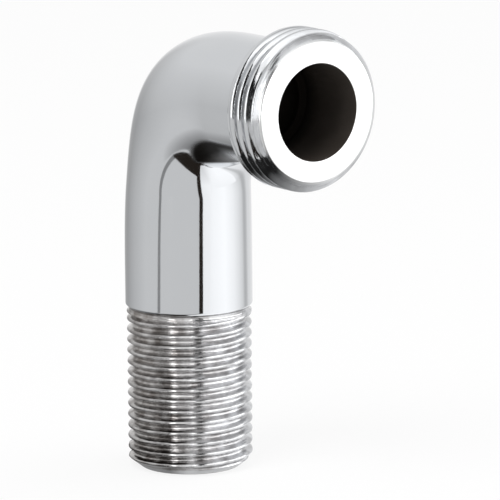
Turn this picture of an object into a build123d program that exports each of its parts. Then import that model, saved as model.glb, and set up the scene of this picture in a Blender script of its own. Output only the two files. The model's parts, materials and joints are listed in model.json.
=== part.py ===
from build123d import *
import math
import os

# Wall outlet elbow, one plated brass piece, in millimetres.
# The inlet leg stands on the Z axis with its end face at z = 0.
# The outlet points along -Y.

# Inlet leg: a G 1/2 male thread below a plain polished shank
INLET_THREAD_DIAMETER = 20.955   # major diameter
INLET_THREAD_LENGTH = 26.5       # end face to the run-out groove
INLET_LEAD_LENGTH = 1.7          # height of the lead chamfer
INLET_FACE_WIDTH = 1.8           # flat ring between the passage and the lead chamfer
RUN_OUT_WIDTH = 0.5              # groove where the thread ends
RUN_OUT_DEPTH = 0.38
SHANK_DIAMETER = 21.2
SHANK_EDGE_LENGTH = 0.6          # height of the bevel at the shank's lower edge
SHANK_STRAIGHT_LENGTH = 5.0      # plain stretch between that bevel and the bend

# Bend
OUTLET_RISE = 36.6               # top of the bevel to the outlet axis
INNER_CORNER_RADIUS = 7.0
BEND_FULLNESS = 2.95             # exponent of the outer curve, 2 is an ellipse
SHANK_SECTIONS = 3               # level sections, below the centre of the inner corner
BEND_SECTIONS = 6                # steps of the sections that turn about that centre
TANGENT_RUN = 2.0                # step of two straight sections that lead into the bend at each end

# Neck and outlet collar with a G 3/4 male thread
NECK_DIAMETER = 20.8
OUTLET_REACH = 35.0              # leg axis to the sealing face
COLLAR_THREAD_DIAMETER = 26.441  # major diameter
COLLAR_LENGTH = 7.0              # back of the collar to the sealing face
COLLAR_LEAD_LENGTH = 1.9         # depth of the front chamfer
COLLAR_BACK_EDGE = 0.4           # chamfer of the collar's back edge
COLLAR_ROOT_BEVEL = 0.8          # slope between the neck and the collar's back
SEALING_FACE_WIDTH = 3.45        # flat ring between the bore and the front chamfer

# Water passage
PASSAGE_DIAMETER = 13.0
PASSAGE_BEND_RADIUS = 14.0       # centre line
OUTLET_BORE_DIAMETER = 15.8
OUTLET_BORE_DEPTH = 13.0
BORE_EDGE_CHAMFER = 0.3          # both mouths of the passage

# Gap that may be closed where the turned ends join the bend
JOIN_TOLERANCE = 0.005

# Sizes that follow from those above
inlet_radius = INLET_THREAD_DIAMETER / 2
shank_radius = SHANK_DIAMETER / 2
neck_radius = NECK_DIAMETER / 2
collar_radius = COLLAR_THREAD_DIAMETER / 2
passage_radius = PASSAGE_DIAMETER / 2
bore_radius = OUTLET_BORE_DIAMETER / 2

run_out_top = INLET_THREAD_LENGTH + RUN_OUT_WIDTH
shank_start = run_out_top + SHANK_EDGE_LENGTH
bend_start = shank_start + SHANK_STRAIGHT_LENGTH
outlet_height = shank_start + OUTLET_RISE
collar_back = OUTLET_REACH - COLLAR_LENGTH

# Centre of the inner corner, which the sections of the bend turn about
corner_y = -shank_radius - INNER_CORNER_RADIUS
corner_z = outlet_height - neck_radius - INNER_CORNER_RADIUS

# Outer curve of the bend: it ends above the centre of the inner corner
neck_top = outlet_height + neck_radius
curve_rise = neck_top - bend_start
curve_run = shank_radius - corner_y


def outer_curve_y(z):
    """Y of the bend's outer curve at a height between bend_start and neck_top."""
    rise = (z - bend_start) / curve_rise
    return corner_y + curve_run * (1 - rise**BEND_FULLNESS) ** (1 / BEND_FULLNESS)


def outer_distance(turn):
    """Distance from the centre of the inner corner to the outer curve, in a direction in radians."""
    near = INNER_CORNER_RADIUS
    far = curve_rise + curve_run
    for _ in range(50):
        middle = (near + far) / 2
        y = corner_y + middle * math.cos(turn)
        z = corner_z + middle * math.sin(turn)
        if z < neck_top and y < outer_curve_y(z):
            near = middle
        else:
            far = middle
    return near


def section(plane, radius):
    """Circle in a plane, as two halves that meet in the elbow's plane of symmetry."""
    left = CenterArc((0, 0), radius, start_angle=90, arc_size=180)
    right = CenterArc((0, 0), radius, start_angle=270, arc_size=180)
    return plane * Wire([left, right])


def shank_section(z):
    """Level section between the straight inner side and the outer curve."""
    back = outer_curve_y(z)
    plane = Plane(origin=(0, (back - shank_radius) / 2, z))
    return section(plane, (back + shank_radius) / 2)


def bend_section(turn):
    """Section between the inner corner and the outer curve, in a plane turned by an angle in radians."""
    outer = outer_distance(turn)
    middle = (outer + INNER_CORNER_RADIUS) / 2
    plane = Plane(
        origin=(0, corner_y + middle * math.cos(turn), corner_z + middle * math.sin(turn)),
        x_dir=(1, 0, 0),
        z_dir=(0, -math.sin(turn), math.cos(turn)),
    )
    return section(plane, (outer - INNER_CORNER_RADIUS) / 2)


def bend():
    """Body of the bend, lofted through circles that swell at the corner, between its two end planes."""
    shank_end = Plane(origin=(0, 0, bend_start))
    neck_end = Plane(origin=(0, corner_y, outlet_height), x_dir=(1, 0, 0), z_dir=(0, -1, 0))
    level_step = (corner_z - bend_start) / SHANK_SECTIONS
    turn_step = math.pi / 2 / BEND_SECTIONS
    sections = [section(shank_end.offset(-TANGENT_RUN * i), shank_radius) for i in (2, 1)]
    sections += [shank_section(bend_start + level_step * i) for i in range(SHANK_SECTIONS)]
    sections += [bend_section(turn_step * i) for i in range(BEND_SECTIONS + 1)]
    sections += [section(neck_end.offset(TANGENT_RUN * i), neck_radius) for i in (1, 2)]
    body = Solid.make_loft(sections)
    return body.split(shank_end, keep=Keep.TOP).split(neck_end, keep=Keep.BOTTOM)


def inlet_leg():
    """Turned inlet end, from the end face to the start of the bend."""
    outline = Polyline(
        (0, 0),
        (passage_radius + INLET_FACE_WIDTH, 0),
        (inlet_radius, INLET_LEAD_LENGTH),
        (inlet_radius, INLET_THREAD_LENGTH),
        (inlet_radius - RUN_OUT_DEPTH, INLET_THREAD_LENGTH),
        (inlet_radius - RUN_OUT_DEPTH, run_out_top),
        (shank_radius, shank_start),
        (shank_radius, bend_start),
        (0, bend_start),
        close=True,
    )
    return revolve(Plane.XZ * make_face(outline), Axis.Z)


def outlet_end():
    """Turned outlet end, from the end of the bend to the sealing face."""
    outline = Polyline(
        (0, -corner_y),
        (neck_radius, -corner_y),
        (neck_radius, collar_back - COLLAR_ROOT_BEVEL),
        (neck_radius + COLLAR_ROOT_BEVEL, collar_back),
        (collar_radius - COLLAR_BACK_EDGE, collar_back),
        (collar_radius, collar_back + COLLAR_BACK_EDGE),
        (collar_radius, OUTLET_REACH - COLLAR_LEAD_LENGTH),
        (bore_radius + SEALING_FACE_WIDTH, OUTLET_REACH),
        (0, OUTLET_REACH),
        close=True,
    )
    half_plane = Plane(origin=(0, 0, outlet_height), x_dir=(0, 0, 1), z_dir=(1, 0, 0))
    outlet_axis = Axis((0, 0, outlet_height), (0, -1, 0))
    return revolve(half_plane * make_face(outline), outlet_axis)


def bore_mouth(radius):
    """Cutter that bevels the edge of a bore, standing on its mouth and pointing into it."""
    upright = (Align.CENTER, Align.CENTER, Align.MIN)
    return Cone(radius + BORE_EDGE_CHAMFER, radius, BORE_EDGE_CHAMFER, align=upright)


def water_passage():
    """Room for the water: a bent bore from the inlet, and a wider one from the outlet."""
    centre_line = FilletPolyline(
        (0, 0, 0),
        (0, 0, outlet_height),
        (0, -OUTLET_REACH, outlet_height),
        radius=PASSAGE_BEND_RADIUS,
    )
    passage = sweep(Plane.XY * Circle(passage_radius), path=centre_line)
    outlet = Plane(origin=(0, -OUTLET_REACH, outlet_height), x_dir=(1, 0, 0), z_dir=(0, 1, 0))
    bore = extrude(outlet * Circle(bore_radius), OUTLET_BORE_DEPTH)
    return passage + bore + bore_mouth(passage_radius) + outlet * bore_mouth(bore_radius)


def elbow_body():
    """The whole elbow as one solid."""
    outside = inlet_leg().fuse(bend(), outlet_end(), tol=JOIN_TOLERANCE)
    return outside - water_passage()


os.makedirs("parts", exist_ok=True)
export_step(elbow_body(), "parts/elbow_body.step")
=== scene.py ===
import json
import math

import bpy
from mathutils import Matrix, Vector, noise


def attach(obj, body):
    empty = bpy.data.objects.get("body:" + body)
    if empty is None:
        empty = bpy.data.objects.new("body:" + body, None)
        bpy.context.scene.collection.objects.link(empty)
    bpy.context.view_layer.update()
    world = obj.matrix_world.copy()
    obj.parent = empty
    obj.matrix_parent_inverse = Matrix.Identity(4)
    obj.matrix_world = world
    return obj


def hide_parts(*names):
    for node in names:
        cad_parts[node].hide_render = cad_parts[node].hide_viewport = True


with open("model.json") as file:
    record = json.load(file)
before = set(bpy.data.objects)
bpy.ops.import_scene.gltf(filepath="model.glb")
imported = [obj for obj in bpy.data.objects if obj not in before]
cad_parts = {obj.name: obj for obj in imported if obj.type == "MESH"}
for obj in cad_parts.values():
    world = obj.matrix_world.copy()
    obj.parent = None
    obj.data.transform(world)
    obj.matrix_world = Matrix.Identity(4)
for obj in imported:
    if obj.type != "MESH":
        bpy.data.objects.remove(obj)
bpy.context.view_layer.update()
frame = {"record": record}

# Wall outlet elbow in chrome-plated brass, standing on its inlet end.
# The elbow's sizes are in millimetres and in the frame's axes. MM turns them into metres.
MM = 0.001

# Sizes that the frame states

mounts = {mount["name"]: mount for mount in frame["record"]["mounts"]}


def pin_span(name, axis):
    """Where a pin mount begins and ends along one axis, measured from the origin, and its radius."""
    middle = abs(mounts[name]["pos_m"][axis]) / MM
    half = mounts[name]["dims"]["length_mm"] / 2
    return middle - half, middle + half, mounts[name]["dims"]["r_mm"]


inlet_lead, inlet_end, inlet_radius = pin_span("inlet_thread", 2)
collar_start, collar_end, collar_radius = pin_span("outlet_thread", 1)
outlet_height = mounts["outlet_thread"]["pos_m"][2] / MM
outlet_reach = -mounts["outlet_face"]["pos_m"][1] / MM

# Other sizes of the elbow

INLET_FACE_RADIUS = 8.3          # where the lead chamfer starts
RUN_OUT_WIDTH = 0.5              # groove where the inlet thread ends
RUN_OUT_DEPTH = 0.38
SHANK_RADIUS = 10.6
SHANK_EDGE_LENGTH = 0.6          # bevel at the shank's lower edge
SHANK_STRAIGHT_LENGTH = 5.0
INNER_CORNER_RADIUS = 7.0
BEND_FULLNESS = 2.95             # exponent of the bend's outer curve
NECK_RADIUS = 10.4
COLLAR_BACK_EDGE = 0.4
COLLAR_ROOT_BEVEL = 0.8
SEALING_FACE_RADIUS = 11.35      # where the front chamfer ends
LEAD_BULGE = 0.436               # how much steeper than a straight one the front chamfer starts
PASSAGE_RADIUS = 6.5
PASSAGE_BEND_RADIUS = 14.0
BORE_RADIUS = 7.9
BORE_DEPTH = 13.0
BORE_EDGE_CHAMFER = 0.08         # both mouths of the passage
EDGE_EASE = 0.12                 # polished-off corners of the turned outlines
EASE_SHARE = 0.4                 # largest share of an edge that this takes

# Painted shade in the inner corner: surfaces under the neck that face down are painted near black

CORNER_SHADE_SLOPE = 0.55                # how far a surface faces down where the painted shade starts
CORNER_SHADE_SLOPE_SOFTNESS = 0.07
CORNER_SHADE_DROP = 0.6                  # how far below the neck's underside it starts
CORNER_SHADE_HEIGHT_SOFTNESS = 0.5
CORNER_SHADE_END = 33.0                  # where its upper edge ends along the outlet's axis
CORNER_SHADE_END_SLOPE = 30.0            # how much earlier it ends on the surface that faces down
CORNER_SHADE_END_SOFTNESS = 3.5

# Sizes that follow from those above

run_out_top = inlet_end + RUN_OUT_WIDTH
shank_start = run_out_top + SHANK_EDGE_LENGTH
bend_start = shank_start + SHANK_STRAIGHT_LENGTH
corner_y = -SHANK_RADIUS - INNER_CORNER_RADIUS
corner_z = outlet_height - NECK_RADIUS - INNER_CORNER_RADIUS
neck_top = outlet_height + NECK_RADIUS
corner_shade_height = outlet_height - NECK_RADIUS - CORNER_SHADE_DROP
collar_back = collar_start - COLLAR_BACK_EDGE
run_out_radius = inlet_radius - RUN_OUT_DEPTH
bevel_middle = shank_start - SHANK_EDGE_LENGTH / 2, (run_out_radius + SHANK_RADIUS) / 2
lip = 2 * EDGE_EASE              # turned edge that a thread's wall starts from
deep_length = 2 * BORE_DEPTH     # outline length given to the bent passage, and where the leg's starts

# Whitworth pipe thread, 14 to the inch, right-hand

PITCH = 25.4 / 14
FLANK_SLOPE = math.radians(62.5)  # from the axis
INLET_ROUNDING = 0.19 * PITCH     # radius of crests and roots, softened by the plating
COLLAR_ROUNDING = 0.1373 * PITCH  # the standard's own radius
ARC_STEPS = 3                     # rows on half a rounded crest or root
FLANK_STEPS = 3                   # rows on a flank
INLET_CREST_LOSS = 0.08           # crests below the nominal radius
INLET_CREST_HEIGHT = 0.74         # height of a crest on the +X side
INLET_FADE = 0.6                  # stretch over which the thread runs out below the shank
COLLAR_CREST_SETBACK = 2.2        # crest behind the sealing face, on the -X side
COLLAR_FADE = 1.3                 # stretch over which the thread runs out at the collar's back
ROW_MARGIN = 0.04                 # room between a thread's rows and its end rings
INLET_TEAR = 0.11                 # depth of ragged marks of the cutting tool along the thread
COLLAR_TEAR = 0.03
TEAR_RATE = 14.0                  # how often they change in one turn
TEAR_FINENESS = 1.2               # how often they change across one groove
INLET_DULLNESS = 0.75, 1.0        # of crests and roots, where 0 is polished and 1 is soiled
COLLAR_DULLNESS = 0.0, 0.6
CHAMFER_DULLNESS = 0.35

inlet_crest = inlet_radius - INLET_CREST_LOSS

# Resolution of the skin

SEGMENTS = 192                   # points in a ring
LEVEL_STEPS = 12                 # steps between level sections of the bend
TURN_STEPS = 44                  # steps between its sections that turn about the inner corner
PASSAGE_STEPS = 24               # steps of the passage's bend
SEARCH_STEPS = 50                # halvings in the search for the bend's outer curve
FACE_WEIGHT = 75                 # how far large faces keep the shading of their edges flat

# Finishes, in the order of the skin's material slots

POLISHED, THREAD, FACE, PASSAGE = range(4)


# Skin of the elbow


def on_leg(along):
    """Station on the leg: y and z of the section's centre, and how far it is turned."""
    return 0.0, along, 0.0


def on_outlet(along):
    """Station on the outlet's axis, at a distance from the leg's axis."""
    return -along, outlet_height, math.pi / 2


def around(station, angle, radius):
    """Point of a section. The angle runs from +X towards the outside of the bend."""
    y, z, turn = station
    across = radius * math.sin(angle)
    return radius * math.cos(angle), y + across * math.cos(turn), z + across * math.sin(turn)


def smooth_share(value):
    """0 below 0, 1 above 1, and smooth between them."""
    value = min(max(value, 0.0), 1.0)
    return value * value * (3 - 2 * value)


def painted_corner_shade(place, station, angle):
    """Share of the painted corner shade at a point: under the neck, from the inner corner towards the
    collar.
    """
    facing_down = -math.sin(angle) * math.sin(station[2])
    under = smooth_share((facing_down - CORNER_SHADE_SLOPE) / CORNER_SHADE_SLOPE_SOFTNESS)
    above = smooth_share((place[2] - corner_shade_height) / CORNER_SHADE_HEIGHT_SOFTNESS)
    end = CORNER_SHADE_END - CORNER_SHADE_END_SLOPE * (facing_down - CORNER_SHADE_SLOPE)
    behind = smooth_share((place[1] + end) / CORNER_SHADE_END_SOFTNESS)
    return under * above * behind


class Skin:
    """Closed skin, built from rings of points around the water's way."""

    def __init__(self):
        self.points = []
        self.dullness = []
        self.outlines = []
        self.helices = []
        # share of the painted corner shade at each point
        self.corner_shades = []
        self.faces = []
        self.finishes = []

    def point(self, place, dullness=0.0, outline=0.0, helix=(0.0, 0.0, 0.0), corner_shade_and_bore_film=0.0):
        self.points.append([x * MM for x in place])
        self.dullness.append(dullness)
        self.outlines.append(outline)
        self.helices += helix
        self.corner_shades.append(corner_shade_and_bore_film)
        return len(self.points) - 1

    def ring(self, station, radius, outline=0.0, dullness=0.0):
        """Ring around a station, where it lies along the turned outline, and how dull it is."""
        ring = []
        for j in range(SEGMENTS):
            angle = 2 * math.pi * j / SEGMENTS
            place = around(station, angle, radius)
            ring.append(self.point(place, dullness, outline, corner_shade_and_bore_film=painted_corner_shade(place, station, angle)))
        return ring

    def face(self, corners, finish):
        self.faces.append(corners)
        self.finishes.append(finish)

    def strip(self, first, second, finish):
        for j in range(SEGMENTS):
            k = (j + 1) % SEGMENTS
            self.face([first[j], first[k], second[k], second[j]], finish)

    def rings(self, rings, finish):
        """Joins rings in a row."""
        for first, second in zip(rings, rings[1:]):
            self.strip(first, second, finish)

    def mesh(self, name):
        mesh = bpy.data.meshes.new(name)
        mesh.from_pydata(self.points, [], self.faces)
        mesh.polygons.foreach_set("material_index", self.finishes)
        mesh.polygons.foreach_set("use_smooth", [True] * len(self.faces))
        mesh.attributes.new("dullness", "FLOAT", "POINT").data.foreach_set("value", self.dullness)
        mesh.attributes.new("outline", "FLOAT", "POINT").data.foreach_set("value", self.outlines)
        mesh.attributes.new("helix", "FLOAT_VECTOR", "POINT").data.foreach_set("vector", self.helices)
        mesh.attributes.new("corner_shade_and_bore_film", "FLOAT", "POINT").data.foreach_set("value", self.corner_shades)
        mesh.validate()
        mesh.update()
        return mesh


def eased(corners):
    """Outline of (along, radius) points with each inner corner rounded off a little."""
    points = [Vector(corner) for corner in corners]
    outline = [points[0]]
    for before, corner, after in zip(points, points[1:], points[2:]):
        shorter = min((before - corner).length, (after - corner).length)
        ease = min(EDGE_EASE, EASE_SHARE * shorter)
        start = corner + (before - corner).normalized() * ease
        end = corner + (after - corner).normalized() * ease
        outline += [start, (start + 2 * corner + end) / 4, end]
    return outline + [points[-1]]


def turned(skin, place, corners, length=0.0, dullness=0.0, skip=0):
    """Rings of a turned stretch, whose outline starts at a length. The first ones may be skipped."""
    rings = []
    outline = eased(corners)
    for i, (before, here) in enumerate(zip(outline[:1] + outline, outline)):
        length += (here - before).length
        if i >= skip:
            rings.append(skin.ring(place(here.x), here.y, length, dullness))
    return rings


# Threads


def thread_depth(rounding):
    """Depth of a thread whose crests and roots are rounded to a radius."""
    return PITCH / 2 * math.tan(FLANK_SLOPE) - 2 * rounding * (1 / math.cos(FLANK_SLOPE) - 1)


def thread_profile(rounding):
    """One pitch of the thread from a crest to the next, as (advance, depth) points."""
    turns = [FLANK_SLOPE * i / ARC_STEPS for i in range(ARC_STEPS + 1)]
    crest = [(rounding * math.sin(t), rounding * (1 - math.cos(t))) for t in turns]
    root = [(PITCH / 2 - advance, thread_depth(rounding) - depth) for advance, depth in reversed(crest)]
    top, foot = Vector(crest[-1]), Vector(root[0])
    flank = [tuple(top.lerp(foot, i / FLANK_STEPS)) for i in range(1, FLANK_STEPS)]
    half = crest + flank + root
    return half + [(PITCH - advance, depth) for advance, depth in reversed(half[1:-1])]


class Thread:
    """A male thread cut into a turned blank, between two distances along an axis."""

    def __init__(self, place, start, end, crest, phase, rounding, dullness, tear):
        self.place, self.start, self.end = place, start, end
        self.crest, self.phase = crest, phase
        self.dullness, self.tear = dullness, tear
        self.depth = thread_depth(rounding)
        self.profile = thread_profile(rounding)

    def dull(self, cut):
        """How dull the thread is at a depth."""
        crest, root = self.dullness
        return crest + (root - crest) * min(cut / self.depth, 1.0)

    def column(self, skin, j, blank, share):
        """The wall's points in one column, by the number of their row."""
        rows = len(self.profile)
        angle = 2 * math.pi * j / SEGMENTS
        lead = self.phase + PITCH * j / SEGMENTS
        number = rows * math.floor((self.start - lead) / PITCH)
        column = {}
        while True:
            advance, depth = self.profile[number % rows]
            along = lead + PITCH * (number // rows) + advance
            if along > self.end - ROW_MARGIN:
                return column
            if along > self.start + ROW_MARGIN:
                phase = 2 * math.pi * number / rows
                helix = math.cos(phase), math.sin(phase), TEAR_RATE * (number // rows + j / SEGMENTS)
                tear = self.tear * max(noise.noise(Vector(helix) * TEAR_FINENESS), 0.0)
                cut = (depth + tear) * share(along)
                radius = min(blank(along), self.crest - cut)
                dullness = self.dull(cut) if radius == self.crest - cut else CHAMFER_DULLNESS
                column[number] = skin.point(around(self.place(along), angle, radius), dullness, along, helix)
            number += 1

    def wall(self, skin, first, last, blank, share):
        """Helical wall between two level rings, one pitch up in each turn, cut into a turned blank."""
        columns = [self.column(skin, j, blank, share) for j in range(SEGMENTS)]
        for j in range(SEGMENTS):
            k = (j + 1) % SEGMENTS
            shift = len(self.profile) if k == 0 else 0
            left = columns[j]
            right = {number - shift: point for number, point in columns[k].items()}
            shared = sorted(left.keys() & right.keys())
            for low, high in zip(shared, shared[1:]):
                skin.face([left[low], right[low], right[high], left[high]], THREAD)
            low, high = shared[0], shared[-1]
            below = [right[n] for n in sorted(right) if n <= low]
            below += [left[n] for n in sorted(left, reverse=True) if n <= low]
            skin.face([first[j], first[k]] + below, THREAD)
            above = [left[n] for n in sorted(left, reverse=True) if n >= high]
            above += [right[n] for n in sorted(right) if n >= high]
            skin.face([last[k], last[j]] + above, THREAD)


def inlet_blank(along):
    """Radius of the leg before it is threaded, with its lead chamfer."""
    return INLET_FACE_RADIUS + (inlet_radius - INLET_FACE_RADIUS) * min(along / inlet_lead, 1.0)


def collar_blank(along):
    """Radius of the collar before it is threaded, with its rounded front chamfer and its back edge."""
    back = collar_radius + (along - collar_start)
    lead = outlet_reach - collar_end
    inset = min(outlet_reach - along, lead)
    slope = (collar_radius - SEALING_FACE_RADIUS) / lead + LEAD_BULGE * (1 - inset / lead)
    return min(back, SEALING_FACE_RADIUS + slope * inset)


def inlet_share(along):
    """Share of the inlet thread's depth that is cut: it fades below the shank."""
    return smooth_share((inlet_end - along) / INLET_FADE)


def collar_share(along):
    """Share of the collar thread's depth that is cut: it fades at the collar's back."""
    return smooth_share((along - collar_start) / COLLAR_FADE)


def inlet_thread():
    """The long thread on the leg."""
    return Thread(
        on_leg, start=lip, end=inlet_end - lip, crest=inlet_crest, phase=INLET_CREST_HEIGHT,
        rounding=INLET_ROUNDING, dullness=INLET_DULLNESS, tear=INLET_TEAR,
    )


def collar_thread():
    """The short thread around the outlet."""
    return Thread(
        on_outlet, start=collar_back + lip, end=outlet_reach - lip, crest=collar_radius,
        phase=outlet_reach - COLLAR_CREST_SETBACK - PITCH / 2,
        rounding=COLLAR_ROUNDING, dullness=COLLAR_DULLNESS, tear=COLLAR_TEAR,
    )


# Bend


def outer_curve_y(z):
    """Y of the bend's outer curve at a height between bend_start and neck_top."""
    rise = (z - bend_start) / (neck_top - bend_start)
    return corner_y + (SHANK_RADIUS - corner_y) * (1 - rise**BEND_FULLNESS) ** (1 / BEND_FULLNESS)


def outer_distance(turn):
    """Distance from the centre of the inner corner to the outer curve, in a direction in radians."""
    near, far = INNER_CORNER_RADIUS, neck_top
    for _ in range(SEARCH_STEPS):
        middle = (near + far) / 2
        y = corner_y + middle * math.cos(turn)
        z = corner_z + middle * math.sin(turn)
        if z < neck_top and y < outer_curve_y(z):
            near = middle
        else:
            far = middle
    return near


def bend_rings(skin):
    """Level sections up to the inner corner, then sections that turn about its centre."""
    rings = []
    for i in range(1, LEVEL_STEPS):
        z = bend_start + (corner_z - bend_start) * i / LEVEL_STEPS
        back = outer_curve_y(z)
        rings.append(skin.ring(((back - SHANK_RADIUS) / 2, z, 0.0), (back + SHANK_RADIUS) / 2))
    for i in range(TURN_STEPS + 1):
        turn = math.pi / 2 * i / TURN_STEPS
        outer = outer_distance(turn)
        middle = (outer + INNER_CORNER_RADIUS) / 2
        centre = corner_y + middle * math.cos(turn), corner_z + middle * math.sin(turn)
        rings.append(skin.ring((*centre, turn), (outer - INNER_CORNER_RADIUS) / 2))
    return rings


def passage_rings(skin):
    """Bent part of the water passage, from the outlet down to the leg."""
    y, z = -PASSAGE_BEND_RADIUS, outlet_height - PASSAGE_BEND_RADIUS
    rings = []
    for i in range(1, PASSAGE_STEPS):
        turn = math.pi / 2 * (1 - i / PASSAGE_STEPS)
        centre = y + PASSAGE_BEND_RADIUS * math.cos(turn), z + PASSAGE_BEND_RADIUS * math.sin(turn)
        rings.append(skin.ring((*centre, turn), PASSAGE_RADIUS, deep_length))
    return rings


# Turned stretches, from the inlet over the outside to the outlet and back


def inlet_face_rings(skin):
    """Inlet's end face, from the passage's mouth to the start of the lead chamfer."""
    return turned(skin, on_leg, [
        (BORE_EDGE_CHAMFER, PASSAGE_RADIUS),
        (0.0, PASSAGE_RADIUS + BORE_EDGE_CHAMFER),
        (0.0, INLET_FACE_RADIUS),
        (lip, inlet_blank(lip)),
    ])


def run_out_rings(skin):
    """Groove where the inlet thread ends, and the lower half of the shank's bevel."""
    return turned(skin, on_leg, [
        (inlet_end - lip, inlet_crest),
        (inlet_end, run_out_radius),
        (run_out_top, run_out_radius),
        bevel_middle,
    ], dullness=1.0)


def shank_rings(skin):
    """Upper half of the shank's bevel and the straight shank, after the ring that the groove ends with."""
    return turned(skin, on_leg, [
        bevel_middle,
        (shank_start, SHANK_RADIUS),
        (bend_start, SHANK_RADIUS),
    ], skip=1)


def neck_rings(skin):
    """Straight end of the neck, the bevel at the collar's root and the collar's back."""
    return turned(skin, on_outlet, [
        (collar_back - 2 * COLLAR_ROOT_BEVEL, NECK_RADIUS),
        (collar_back - COLLAR_ROOT_BEVEL, NECK_RADIUS),
        (collar_back, NECK_RADIUS + COLLAR_ROOT_BEVEL),
        (collar_back, collar_blank(collar_back)),
        (collar_back + lip, collar_blank(collar_back + lip)),
    ])


def sealing_face_rings(skin):
    """Sealing face, from the end of the front chamfer to the bore's mouth."""
    return turned(skin, on_outlet, [
        (outlet_reach - lip, collar_blank(outlet_reach - lip)),
        (outlet_reach, SEALING_FACE_RADIUS),
        (outlet_reach, BORE_RADIUS + BORE_EDGE_CHAMFER),
        (outlet_reach - BORE_EDGE_CHAMFER, BORE_RADIUS),
    ])


def bore_rings(skin):
    """Outlet bore, its step and the straight passage behind it."""
    return turned(skin, on_outlet, [
        (outlet_reach - 2 * BORE_EDGE_CHAMFER, BORE_RADIUS),
        (outlet_reach - BORE_DEPTH, BORE_RADIUS),
        (outlet_reach - BORE_DEPTH, PASSAGE_RADIUS),
        (PASSAGE_BEND_RADIUS, PASSAGE_RADIUS),
    ])


def foot_rings(skin):
    """Straight passage down the leg."""
    return turned(skin, on_leg, [
        (outlet_height - PASSAGE_BEND_RADIUS, PASSAGE_RADIUS),
        (2 * BORE_EDGE_CHAMFER, PASSAGE_RADIUS),
    ], length=deep_length)


def elbow_skin():
    """The whole elbow as one closed skin."""
    skin = Skin()
    inlet_face = inlet_face_rings(skin)
    run_out = run_out_rings(skin)
    shank = shank_rings(skin)
    bend = bend_rings(skin)
    neck = neck_rings(skin)
    sealing_face = sealing_face_rings(skin)
    bore = bore_rings(skin)
    passage = passage_rings(skin)
    foot = foot_rings(skin)

    skin.rings(inlet_face, FACE)
    inlet_thread().wall(skin, inlet_face[-1], run_out[0], inlet_blank, inlet_share)
    skin.rings(run_out, THREAD)
    skin.rings(run_out[-1:] + shank + bend + neck, POLISHED)
    collar_thread().wall(skin, neck[-1], sealing_face[0], collar_blank, collar_share)
    skin.rings(sealing_face[:-2], FACE)
    skin.rings(sealing_face[-3:] + bore + passage + foot + [inlet_face[0]], PASSAGE)
    return skin


# Materials

# Colours, as linear red, green and blue
PLATING_CLEAR = (0.666, 0.683, 0.706)
PLATING_HAZY = (0.706, 0.7185, 0.736)
# painted shade in the inner corner, under the neck
CORNER_SHADE_COLOUR = (0.014, 0.0115, 0.0095)
CREST_COLOUR = (0.682, 0.695, 0.712)
SOILED_GREY = (0.40, 0.40, 0.41)         # soiled patches in the grooves, on the side without painted shade
SOILED_AND_SHADED = (0.25, 0.222, 0.203)      # the same with painted shade, darker and browner, on the side to the camera's left
BARE_GREY = (0.62, 0.63, 0.65)           # bare patches between them
# bare patches with painted shade, on the side to the camera's left
BARE_AND_SHADED = (0.58, 0.56, 0.545)
PAINTED_SHADE_SIDE = (-0.8, 0.6, 0.0)             # towards the camera's left, where the thread is painted darker and browner: painted shade
FACE_CLEAR = (0.70, 0.705, 0.71)
FACE_HAZY = (0.74, 0.745, 0.75)
BORE_DARK = (0.036, 0.030, 0.025)
BORE_PALE = (0.060, 0.050, 0.043)
# painted light: paler deep in the passage, where little light reaches
DEEP_PAINTED_LIGHT = (0.11, 0.093, 0.082)
# painted shade around the step in the passage, hiding the light that the step catches
STEP_SHADE_COLOUR = (0.013, 0.011, 0.0095)

# Roughness, from the smoothest to the roughest spot where nothing else is said
PLATING_ROUGHNESS = 0.04, 0.08
CORNER_SHADE_ROUGHNESS = 0.3                     # added where the painted corner shade is full
THREAD_ROUGHNESS = 0.06, 0.11            # of polished and of soiled metal
PATCH_ROUGHNESS = -0.03, 0.05            # added by soiled and by bare patches
FACE_ROUGHNESS = 0.12, 0.20
BORE_ROUGHNESS = 0.6, 0.85

# Specular level of the bore, away from its step and at it, where it drops with the painted shade
BORE_SHEEN = 0.1, 0.0

# Fineness of the patterns, in features to the metre
HAZE_RATE = 90.0
WAVE_RATE = 160.0
PATCH_RATE = 420.0
FACE_HAZE_RATE = 300.0
BORE_FILM_RATE = 260.0
FACE_MARK_RATE = 9.0                     # to the millimetre of the outline
TOOL_MARK_RATE = 2.6                     # to the unit of the thread's own coordinates

# Heights of the patterns, in millimetres
WAVE_HEIGHT = 0.008
TOOL_MARK_HEIGHT = 0.045
FACE_MARK_HEIGHT = 0.010
BORE_HEIGHT = 0.05

# Stretches over which a pattern's value goes from its low end to its high end
NOISE_RANGE = 0.3, 0.7
PATCH_RANGE = 0.36, 0.60

# Stretches along the passage, in depths of the outlet bore
STEP_START = 0.7, 0.98                   # where the painted shade around the step sets in
STEP_END = 1.15, 1.5                     # where it ends
DEEP_START = 1.1, 1.7                    # where the deep passage starts to be painted paler: painted light where little light reaches


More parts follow.
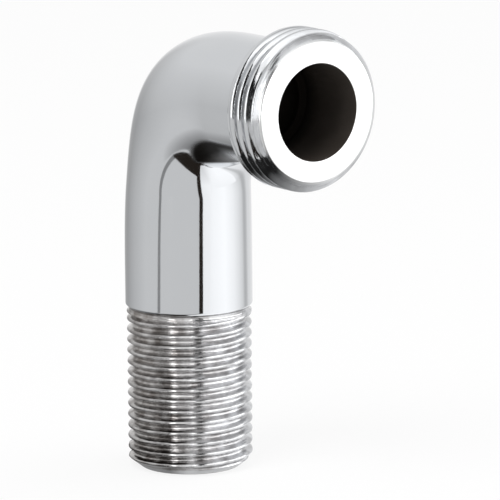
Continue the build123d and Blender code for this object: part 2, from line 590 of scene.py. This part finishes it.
class Nodes:
    """Short way to write a node tree."""

    def __init__(self, tree):
        self.tree = tree
        self.tree.nodes.clear()

    def add(self, kind, inputs=None, **settings):
        node = self.tree.nodes.new(kind)
        for name, value in settings.items():
            setattr(node, name, value)
        for name, value in (inputs or {}).items():
            if isinstance(value, bpy.types.NodeSocket):
                self.tree.links.new(value, node.inputs[name])
            else:
                node.inputs[name].default_value = value
        return node

    def noise(self, vector, scale, detail=3.0):
        inputs = {"Vector": vector, "Scale": scale, "Detail": detail}
        return self.add("ShaderNodeTexNoise", inputs).outputs["Fac"]

    def marks(self, outline, scale, detail=3.0):
        """Noise in one direction, along the turned outline: the marks of a lathe tool."""
        inputs = {"W": outline, "Scale": scale, "Detail": detail}
        return self.add("ShaderNodeTexNoise", inputs, noise_dimensions="1D").outputs["Fac"]

    def span(self, value, low, high, from_low=0.0, from_high=1.0):
        """Value brought from one range to another, and kept within it."""
        inputs = {"Value": value, "From Min": from_low, "From Max": from_high, "To Min": low, "To Max": high}
        return self.add("ShaderNodeMapRange", inputs).outputs["Result"]

    def blend(self, factor, first, second):
        """Colour between two colours."""
        node = self.add("ShaderNodeMix", data_type="RGBA")
        self.tree.links.new(factor, node.inputs["Factor"])
        for name, value in (("A", first), ("B", second)):
            socket = [s for s in node.inputs if s.name == name and s.type == "RGBA"][0]
            if isinstance(value, bpy.types.NodeSocket):
                self.tree.links.new(value, socket)
            else:
                socket.default_value = (*value, 1.0)
        return [s for s in node.outputs if s.type == "RGBA"][0]

    def sum(self, *values):
        """Sum of values, kept between 0 and 1."""
        total = values[0]
        for value in values[1:]:
            node = self.add("ShaderNodeMath", {0: total, 1: value}, operation="ADD", use_clamp=True)
            total = node.outputs[0]
        return total

    def scaled(self, value, factor):
        return self.add("ShaderNodeMath", {0: value, 1: factor}, operation="MULTIPLY").outputs[0]

    def along(self, vector, direction):
        """How far a vector reaches in a direction."""
        node = self.add("ShaderNodeVectorMath", {0: vector, 1: direction}, operation="DOT_PRODUCT")
        return node.outputs["Value"]

    def attribute(self, name):
        return self.add("ShaderNodeAttribute", attribute_name=name).outputs["Fac"]

    def vector(self, name):
        return self.add("ShaderNodeAttribute", attribute_name=name).outputs["Vector"]

    def places(self):
        return self.add("ShaderNodeTexCoord").outputs["Object"]

    def bump(self, height, distance):
        return self.add("ShaderNodeBump", {"Height": height, "Distance": distance}).outputs["Normal"]

    def surface(self, shader):
        output = self.add("ShaderNodeOutputMaterial")
        self.tree.links.new(shader.outputs[0], output.inputs["Surface"])


def new_material(name):
    material = bpy.data.materials.new(name)
    material.use_nodes = True
    return material, Nodes(material.node_tree)


def polished_chrome():
    """Mirror-bright plating with a faint waviness, a trace of haze and painted shade in the inner corner."""
    material, nodes = new_material("polished_chrome")
    places = nodes.places()
    haze = nodes.noise(places, HAZE_RATE)
    waves = nodes.noise(places, WAVE_RATE, detail=1.0)
    # painted shade: darker where the neck's underside faces down, from the inner corner towards the collar
    corner_shade_and_bore_film = nodes.attribute("corner_shade_and_bore_film")
    plating = nodes.blend(haze, PLATING_CLEAR, PLATING_HAZY)
    plating_roughness = nodes.span(haze, *PLATING_ROUGHNESS, *NOISE_RANGE)
    nodes.surface(nodes.add("ShaderNodeBsdfPrincipled", {
        "Base Color": nodes.blend(corner_shade_and_bore_film, plating, CORNER_SHADE_COLOUR),
        "Metallic": 1.0,
        "Roughness": nodes.sum(plating_roughness, nodes.scaled(corner_shade_and_bore_film, CORNER_SHADE_ROUGHNESS)),
        "Normal": nodes.bump(waves, WAVE_HEIGHT * MM),
    }))
    return material


def cut_thread():
    """Plated thread: bright crests, duller roots with patches of soil, marks of the cutting tool, and
    painted shade that makes the side to the camera's left darker and browner.
    """
    material, nodes = new_material("cut_thread")
    places = nodes.places()
    bareness = nodes.span(nodes.noise(places, PATCH_RATE, detail=4.0), 0.0, 1.0, *PATCH_RANGE)
    # painted shade: the thread turns darker and browner across the leg towards the camera's left
    side = nodes.along(places, PAINTED_SHADE_SIDE)
    side_shade = nodes.span(side, 0.0, 1.0, -inlet_radius * MM, inlet_radius * MM)
    soiled_and_shaded = nodes.blend(side_shade, SOILED_GREY, SOILED_AND_SHADED)
    bare_and_shaded = nodes.blend(side_shade, BARE_GREY, BARE_AND_SHADED)
    dullness = nodes.attribute("dullness")
    marks = nodes.scaled(nodes.noise(nodes.vector("helix"), TOOL_MARK_RATE, detail=4.0), dullness)
    metal_roughness = nodes.span(dullness, *THREAD_ROUGHNESS)
    nodes.surface(nodes.add("ShaderNodeBsdfPrincipled", {
        "Base Color": nodes.blend(dullness, CREST_COLOUR, nodes.blend(bareness, soiled_and_shaded, bare_and_shaded)),
        "Metallic": 1.0,
        "Roughness": nodes.sum(metal_roughness, nodes.span(bareness, *PATCH_ROUGHNESS)),
        "Normal": nodes.bump(marks, TOOL_MARK_HEIGHT * MM),
    }))
    return material


def turned_face():
    """Flat faces with fine rings from the lathe."""
    material, nodes = new_material("turned_face")
    haze = nodes.noise(nodes.places(), FACE_HAZE_RATE)
    marks = nodes.marks(nodes.attribute("outline"), FACE_MARK_RATE)
    nodes.surface(nodes.add("ShaderNodeBsdfPrincipled", {
        "Base Color": nodes.blend(haze, FACE_CLEAR, FACE_HAZY),
        "Metallic": 1.0,
        "Roughness": nodes.span(haze, *FACE_ROUGHNESS, *NOISE_RANGE),
        "Normal": nodes.bump(marks, FACE_MARK_HEIGHT * MM),
    }))
    return material


def dull_bore():
    """Unpolished wall of the water passage, dark with a brown film, with painted shade around its step and
    painted light deeper in.
    """

    def change(low, high, depths):
        """Value that changes between two depths in the passage."""
        start, end = depths
        return nodes.span(length, low, high, start * BORE_DEPTH, end * BORE_DEPTH)

    material, nodes = new_material("dull_bore")
    corner_shade_and_bore_film = nodes.noise(nodes.places(), BORE_FILM_RATE, detail=5.0)
    length = nodes.attribute("outline")
    # painted shade around the step: darker, and without sheen, where the step would catch light
    step_shade = nodes.scaled(change(0.0, 1.0, STEP_START), change(1.0, 0.0, STEP_END))
    near_film = nodes.blend(corner_shade_and_bore_film, BORE_DARK, BORE_PALE)
    # painted light: the deep passage paler, where little light reaches
    film_and_painted_light = nodes.blend(change(0.0, 1.0, DEEP_START), near_film, DEEP_PAINTED_LIGHT)
    nodes.surface(nodes.add("ShaderNodeBsdfPrincipled", {
        "Base Color": nodes.blend(step_shade, film_and_painted_light, STEP_SHADE_COLOUR),
        "Roughness": nodes.span(corner_shade_and_bore_film, *BORE_ROUGHNESS, *NOISE_RANGE),
        "Specular IOR Level": nodes.span(step_shade, *BORE_SHEEN),
        "Normal": nodes.bump(corner_shade_and_bore_film, BORE_HEIGHT * MM),
    }))
    return material


def build_elbow():
    elbow = bpy.data.objects.new("elbow_skin", elbow_skin().mesh("elbow_skin"))
    bpy.context.scene.collection.objects.link(elbow)
    for finish in (polished_chrome, cut_thread, turned_face, dull_bore):
        elbow.data.materials.append(finish())
    elbow.modifiers.new("flat faces", "WEIGHTED_NORMAL").weight = FACE_WEIGHT
    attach(elbow, "root")
    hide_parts("elbow_body")


# Camera

CAMERA_AZIMUTH = -37.46          # degrees from -Y towards +X
CAMERA_ELEVATION = 11.48
CAMERA_ROLL = -0.567
CAMERA_DISTANCE = 900.0
CAMERA_LENS = 393.8
CAMERA_SENSOR = 36.0
CAMERA_CLIP = 10.0               # nothing nearer is seen
CAMERA_AIM = (3.28, -12.54, 37.84)


def heading(azimuth, elevation=0.0):
    """Unit vector to an azimuth in degrees from -Y towards +X, and an elevation."""
    turn, rise = math.radians(azimuth), math.radians(elevation)
    return Vector((math.sin(turn) * math.cos(rise), -math.cos(turn) * math.cos(rise), math.sin(rise)))


def add_camera():
    camera = bpy.data.objects.new("camera", bpy.data.cameras.new("camera"))
    camera.data.lens = CAMERA_LENS
    camera.data.sensor_width = CAMERA_SENSOR
    camera.data.clip_start = CAMERA_CLIP * MM
    back = heading(CAMERA_AZIMUTH, CAMERA_ELEVATION)
    turn = back.to_track_quat("Z", "Y").to_matrix().to_4x4()
    place = Matrix.Translation((Vector(CAMERA_AIM) + back * CAMERA_DISTANCE) * MM)
    camera.matrix_world = place @ turn @ Matrix.Rotation(math.radians(CAMERA_ROLL), 4, "Z")
    bpy.context.scene.collection.objects.link(camera)
    bpy.context.scene.camera = camera


# Floor and light

FLOOR_HALF = 3000.0              # half the floor's side
FLOOR_GAP = 0.02                 # keeps the floor apart from the leg's end face
FLOOR_GREY = 0.92                # share of the light that the floor sends back
FLOOR_WHITE = 0.85               # share of plain white where the floor is seen
WORLD_LIGHT = 0.6                # how bright the world is where it lights
LAMP_DISTANCE = 1200.0


def seen_rays(nodes):
    """1 for rays of the camera, of reflections and through glass, 0 for rays that light the scene."""
    path = nodes.add("ShaderNodeLightPath")
    names = "Is Camera Ray", "Is Glossy Ray", "Is Transmission Ray"
    return nodes.sum(*(path.outputs[name] for name in names))


def add_world():
    """White all round where it is seen, and a plain soft level where it lights."""
    world = bpy.data.worlds.new("studio")
    world.use_nodes = True
    nodes = Nodes(world.node_tree)
    strength = nodes.span(seen_rays(nodes), WORLD_LIGHT, 1.0)
    light = nodes.add("ShaderNodeBackground", {"Color": (1, 1, 1, 1), "Strength": strength})
    output = nodes.add("ShaderNodeOutputWorld")
    nodes.tree.links.new(light.outputs[0], output.inputs["Surface"])
    bpy.context.scene.world = world


def stage_mesh(name, points, faces, material):
    mesh = bpy.data.meshes.new(name)
    mesh.from_pydata(points, [], faces)
    mesh.materials.append(material)
    thing = bpy.data.objects.new(name, mesh)
    bpy.context.scene.collection.objects.link(thing)
    return thing


def square(half):
    return [(-half, -half), (half, -half), (half, half), (-half, half)]


def add_floor():
    """Pale floor that keeps the elbow's shadow."""
    material, nodes = new_material("pale_floor")
    paper = nodes.add("ShaderNodeBsdfDiffuse", {"Color": (FLOOR_GREY, FLOOR_GREY, FLOOR_GREY, 1)})
    white = nodes.add("ShaderNodeEmission", {"Color": (1, 1, 1, 1), "Strength": 1.0})
    share = nodes.scaled(seen_rays(nodes), FLOOR_WHITE)
    nodes.surface(nodes.add("ShaderNodeMixShader", {0: share, 1: paper.outputs[0], 2: white.outputs[0]}))
    corners = [Vector((x, y, -FLOOR_GAP)) * MM for x, y in square(FLOOR_HALF)]
    stage_mesh("floor", corners, [(0, 1, 2, 3)], material)


def add_lamp(name, azimuth, elevation, size, power):
    """Round lamp that looks at the origin and that reflections don't see."""
    lamp = bpy.data.objects.new(name, bpy.data.lights.new(name, "AREA"))
    lamp.data.shape = "DISK"
    lamp.data.size = size * MM
    lamp.data.energy = power
    lamp.visible_glossy = False
    way = heading(azimuth, elevation)
    turn = way.to_track_quat("Z", "Y").to_matrix().to_4x4()
    lamp.matrix_world = Matrix.Translation(way * LAMP_DISTANCE * MM) @ turn
    bpy.context.scene.collection.objects.link(lamp)


# Cards that the chrome mirrors: painted reflections, seen only in reflections and lighting nothing

ROOM = 440.0                     # from the leg's axis to the round wall
CEILING = 340.0
WALL_GAP = 5.0                   # from the wall to the cards before and behind it
CEILING_GAP = 2.0                # from one card of the ceiling to the next below it
AZIMUTH_STEP = 4.0               # degrees of a round card in one flat piece
BASE_HEIGHT = 0.05               # of the dark base on the floor
TABLE_HEIGHT = 0.10              # of the cards on that base
NEAR_HEIGHT = 0.12               # of the cards around the leg's foot
FLAG_HEIGHT = 44.0               # of the card under the collar
TUBE_TOP = 300.0
LAMP_TOP = 230.0

# How bright the cards are, where 1 is white
BLACK = 0.015
BROWN = (1.5, 1.2, 0.98)         # tint of the dark base
DIM = 0.30
SHADE = 0.38                     # of the wall on the left
FOOT = 0.70                      # of the table under the leg's chamfer
GREY = 0.74
PALE = 0.85
STRIP_NEAR = 0.9                 # beside the dark strip, close to the leg
FLAG_END = 1.0                   # of the right end of the card under the collar
STRIP_FAR = 1.2                  # beside the dark strip, farther off
WHITE = 1.3
NEAR = 1.38                      # of the table close to the leg, on the right
SKYLIGHT = 2.0
# brightness of painted highlights, which light nothing
LAMP = 2.8
TUBE = 4.5

# How bright the table and the wall are all round the right and the back, by azimuth
RIGHT_LEVELS = ((5, WHITE), (30, 1.40), (50, 1.25), (65, 1.03), (75, 0.86), (81, 0.62))
SIDE_LEVELS = ((81, 0.62), (87, 0.62), (96, 0.90), (150, 0.97))
BACK_LEVELS = ((150, 0.97), (165, 0.46), (182, 0.43), (210, 0.61), (240, GREY), (258, GREY))
NEAR_LEVELS = ((5, WHITE), (25, NEAR), (66, NEAR))
FOOT_LEVELS = ((-130, DIM), (-60, DIM), (-40, FOOT), (75, FOOT))
BACK_SHARE = 0.12                # how bright the table behind the leg is close to it, against farther off
RIGHT_SHARE = 1.35               # the same on the right

# Distances from the leg's axis at which the table changes
FOOT_RADIUS = 8.0                # under the leg's chamfer
RIM_RADIUS = 11.0                # just outside the leg
NEAR_RADIUS = 20.0
MIDDLE_RADIUS = 32.0
FULL_RADIUS = 75.0

# Azimuths at which the walls and the tubes begin and end
LEFT_WALL = -118.0, -70.0
FRONT_WALL = -70.0, -26.0
POST_WALL = -26.0, -10.5
LAMP_WALL = -10.5, 81.0
LEFT_TUBE = -75.0, -65.0
RIGHT_TUBE = -34.5, -31.5

# Places along X and Y at which level cards change
STRIP_BEND = -60.0               # where the edge of the dark strip bends
SKYLIGHT_END = -60.0             # where the skylight has faded


def card(name, corners, faces, tint=(1.0, 1.0, 1.0)):
    """Card that only reflections see. Its corners are (x, y, z, brightness)."""
    material, nodes = new_material(name)
    light = {"Color": (*tint, 1.0), "Strength": nodes.attribute("brightness")}
    nodes.surface(nodes.add("ShaderNodeEmission", light))
    sheet = stage_mesh(name, [Vector(corner[:3]) * MM for corner in corners], faces, material)
    levels = sheet.data.attributes.new("brightness", "FLOAT", "POINT")
    levels.data.foreach_set("value", [corner[3] for corner in corners])
    sheet.visible_camera = False
    sheet.visible_diffuse = False
    sheet.visible_shadow = False
    sheet.visible_transmission = False


def level_card(name, height, corners, faces=None):
    """Level card. Its corners are (x, y, brightness)."""
    card(name, [(x, y, height, level) for x, y, level in corners], faces or [range(len(corners))])


def plain_card(name, height, level, corners):
    """Level card of one brightness."""
    level_card(name, height, [(x, y, level) for x, y in corners])


def steps_between(levels):
    """Azimuths and brightnesses in even steps through a row of (azimuth, brightness) pairs."""
    for (start, low), (end, high) in zip(levels, levels[1:]):
        steps = math.ceil((end - start) / AZIMUTH_STEP)
        for i in range(steps):
            yield start + (end - start) * i / steps, low + (high - low) * i / steps
    yield levels[-1]


def rim(distance, height, share=1.0, added=0.0):
    """Rim of a round card: where it runs, the share of the levels that it has, and what is added to it."""
    return distance, height, share, added


def round_card(name, levels, rims):
    """Card between rims that go round the leg's axis."""
    corners = []
    for azimuth, level in steps_between(levels):
        for distance, height, share, added in rims:
            place = heading(azimuth) * distance
            corners.append((place.x, place.y, height, level * share + added))
    width = len(rims)
    faces = []
    for i in range(0, len(corners) - width, width):
        faces += [(i + k, i + k + 1, i + width + k + 1, i + width + k) for k in range(width - 1)]
    card(name, corners, faces)


def table_fan(name, levels, near_radius, near_share):
    """Level round card, from close to the leg out to the wall."""
    round_card(name, levels, [
        rim(near_radius, TABLE_HEIGHT, near_share),
        rim(FULL_RADIUS, TABLE_HEIGHT),
        rim(ROOM, TABLE_HEIGHT),
    ])


def wall(name, azimuths, level, height=CEILING, distance=ROOM):
    """Curved upright card of one brightness."""
    start, end = azimuths
    round_card(name, ((start, level), (end, level)), [rim(distance, 0.0), rim(distance, height)])


def fading_wall(name, levels):
    """Curved upright card that turns as pale as the ceiling towards its top."""
    round_card(name, levels, [rim(ROOM, 0.0), rim(ROOM, CEILING, 0.0, PALE)])


def add_table():
    """What the chrome shows of the table: bright and grey cards with gaps between them over a dark base."""
    card("card_base", [(x, y, BASE_HEIGHT, BLACK) for x, y in square(ROOM)], [(0, 1, 2, 3)], BROWN)
    plain_card("card_front_left", TABLE_HEIGHT, GREY, [
        (-48, 4), (-20, -32.5), (-127, -ROOM), (-ROOM, -ROOM), (-ROOM, -30),
    ])
    plain_card("card_left_gap", TABLE_HEIGHT, DIM, [
        (-49, 4), (-ROOM, -30), (-ROOM, 5), (-52, 10),
    ])
    plain_card("card_left", TABLE_HEIGHT, GREY, [
        (-19, 0.5), (-52, 10), (-ROOM, 5), (-ROOM, 94), (-19.6, 4.2),
    ])
    table_fan("card_behind", BACK_LEVELS, NEAR_RADIUS, BACK_SHARE)
    table_fan("card_side", SIDE_LEVELS, RIM_RADIUS, RIGHT_SHARE)
    table_fan("card_right", RIGHT_LEVELS, RIM_RADIUS, RIGHT_SHARE)
    level_card("card_front_right", TABLE_HEIGHT, [
        (-11, -10.5, STRIP_NEAR), (-18.3, STRIP_BEND, STRIP_FAR), (-77, -ROOM, STRIP_FAR),
        (38.4, -ROOM, WHITE), (5.2, STRIP_BEND, WHITE), (0.7, -8, WHITE),
    ], [(0, 1, 4, 5), (1, 2, 3, 4)])
    round_card("card_near_right", NEAR_LEVELS, [
        rim(RIM_RADIUS, NEAR_HEIGHT),
        rim(MIDDLE_RADIUS, NEAR_HEIGHT),
        rim(FULL_RADIUS, NEAR_HEIGHT, 0.0, WHITE),
    ])
    round_card("card_foot", FOOT_LEVELS, [rim(FOOT_RADIUS, NEAR_HEIGHT), rim(RIM_RADIUS, NEAR_HEIGHT)])


def add_walls():
    """What the chrome shows around the table, as painted reflections: walls, a dark post, two tubes, a lamp
    and a ceiling.
    """
    fading_wall("card_side_wall", SIDE_LEVELS)
    fading_wall("card_back_wall", BACK_LEVELS)
    wall("card_left_wall", LEFT_WALL, SHADE)
    wall("card_front_wall", FRONT_WALL, WHITE)
    wall("card_post", POST_WALL, BLACK)
    wall("card_lamp", LAMP_WALL, LAMP, LAMP_TOP)
    wall("card_lamp_wall", LAMP_WALL, WHITE, CEILING, ROOM + WALL_GAP)
    wall("card_tube_left", LEFT_TUBE, TUBE, TUBE_TOP, ROOM - WALL_GAP)
    wall("card_tube_right", RIGHT_TUBE, TUBE, TUBE_TOP, ROOM - WALL_GAP)
    plain_card("card_ceiling", CEILING, PALE, square(ROOM))
    level_card("card_front_ceiling", CEILING - CEILING_GAP, [
        (-ROOM, -ROOM, SKYLIGHT), (ROOM, -ROOM, SKYLIGHT),
        (ROOM, SKYLIGHT_END, DIM), (SKYLIGHT_END, SKYLIGHT_END, DIM),
    ])
    plain_card("card_post_ceiling", CEILING - 2 * CEILING_GAP, BLACK, [
        (-205, -ROOM), (-95, -ROOM), (-8, -40), (-16, -40),
    ])


def add_flag():
    """Card under the collar, a painted dark reflection: black, and paler towards its right end."""
    level_card("card_flag", FLAG_HEIGHT, [
        (-21.5, -27, BLACK), (-21.5, -34, BLACK), (-15, -53, BLACK), (-8, -50, BLACK), (-11, -27, BLACK),
        (14, -42, FLAG_END), (14, -27, FLAG_END),
    ], [(0, 1, 2, 3, 4), (4, 3, 5, 6)])


build_elbow()
add_camera()
add_world()
add_floor()
add_table()
add_walls()
add_flag()
add_lamp("key", azimuth=-75, elevation=55, size=700.0, power=6.0)
add_lamp("fill", azimuth=60, elevation=60, size=900.0, power=3.0)

bpy.context.scene.view_settings.view_transform = "Standard"
